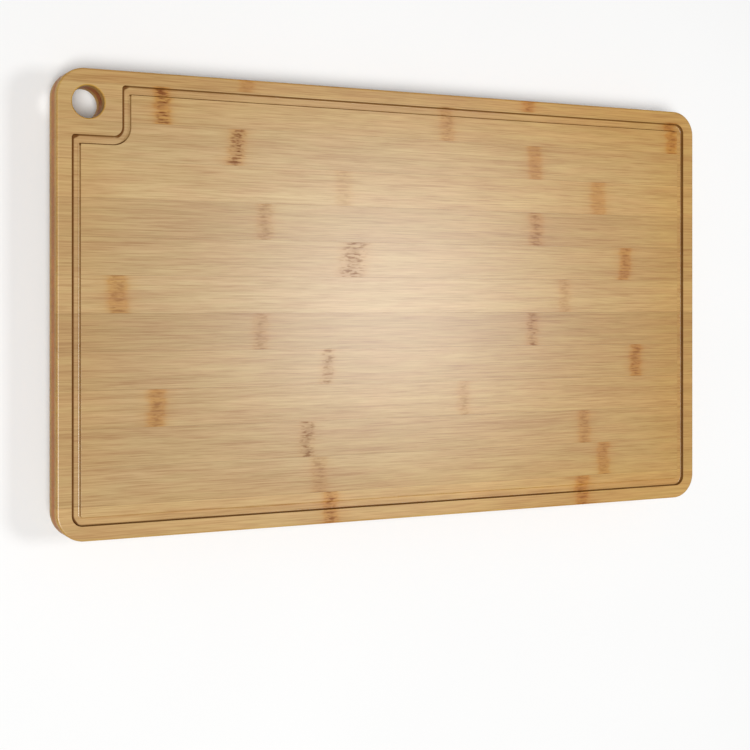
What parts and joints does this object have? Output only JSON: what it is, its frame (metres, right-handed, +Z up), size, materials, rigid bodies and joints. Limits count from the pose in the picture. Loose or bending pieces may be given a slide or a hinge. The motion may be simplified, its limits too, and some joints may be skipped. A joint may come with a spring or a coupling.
{
  "type": "cutting board",
  "caption": "Rectangular laminated bamboo cutting board with rounded corners, a juice groove that steps round a corner hanging hole, and tapered rubber feet held by screws.",
  "frame": {"origin": "centre of the board's footprint, on the plane of the four feet's bottoms", "axes": "+X along the long side, with the hanging hole at the -X end; +Y along the short side, towards the edge nearest the hanging hole; +Z up, out of the cutting face"},
  "size_m": [0.5, 0.3, 0.0385],
  "materials": {
    "light_bamboo": "sanded and oiled, satin",
    "carbonised_bamboo": "steamed brown, sanded and oiled, satin",
    "black_rubber": "moulded, dull",
    "zinc_plated_steel": "bright zinc plate"
  },
  "bodies": {
    "root": {"bottom_strip_01": "light_bamboo", "bottom_strip_02": "light_bamboo", "bottom_strip_03": "light_bamboo", "bottom_strip_04": "light_bamboo", "bottom_strip_05": "light_bamboo", "bottom_strip_06": "light_bamboo", "bottom_strip_07": "light_bamboo", "bottom_strip_08": "light_bamboo", "bottom_strip_09": "light_bamboo", "bottom_strip_10": "light_bamboo", "bottom_strip_11": "light_bamboo", "bottom_strip_12": "light_bamboo", "bottom_strip_13": "light_bamboo", "core_strip_01": "carbonised_bamboo", "core_strip_02": "carbonised_bamboo", "core_strip_03": "carbonised_bamboo", "core_strip_04": "carbonised_bamboo", "core_strip_05": "carbonised_bamboo", "core_strip_06": "carbonised_bamboo", "core_strip_07": "carbonised_bamboo", "core_strip_08": "carbonised_bamboo", "core_strip_09": "carbonised_bamboo", "core_strip_10": "carbonised_bamboo", "core_strip_11": "carbonised_bamboo", "core_strip_12": "carbonised_bamboo", "core_strip_13": "carbonised_bamboo", "foot_screw_front_left": "zinc_plated_steel", "foot_screw_front_right": "zinc_plated_steel", "foot_screw_rear_left": "zinc_plated_steel", "foot_screw_rear_right": "zinc_plated_steel", "foot_washer_front_left": "zinc_plated_steel", "foot_washer_front_right": "zinc_plated_steel", "foot_washer_rear_left": "zinc_plated_steel", "foot_washer_rear_right": "zinc_plated_steel", "rubber_foot_front_left": "black_rubber", "rubber_foot_front_right": "black_rubber", "rubber_foot_rear_left": "black_rubber", "rubber_foot_rear_right": "black_rubber", "top_strip_01": "light_bamboo", "top_strip_02": "light_bamboo", "top_strip_03": "light_bamboo", "top_strip_04": "light_bamboo", "top_strip_05": "light_bamboo", "top_strip_06": "light_bamboo", "top_strip_07": "light_bamboo", "top_strip_08": "light_bamboo", "top_strip_09": "light_bamboo", "top_strip_10": "light_bamboo", "top_strip_11": "light_bamboo", "top_strip_12": "light_bamboo", "top_strip_13": "light_bamboo"}
  },
  "joints": []
}
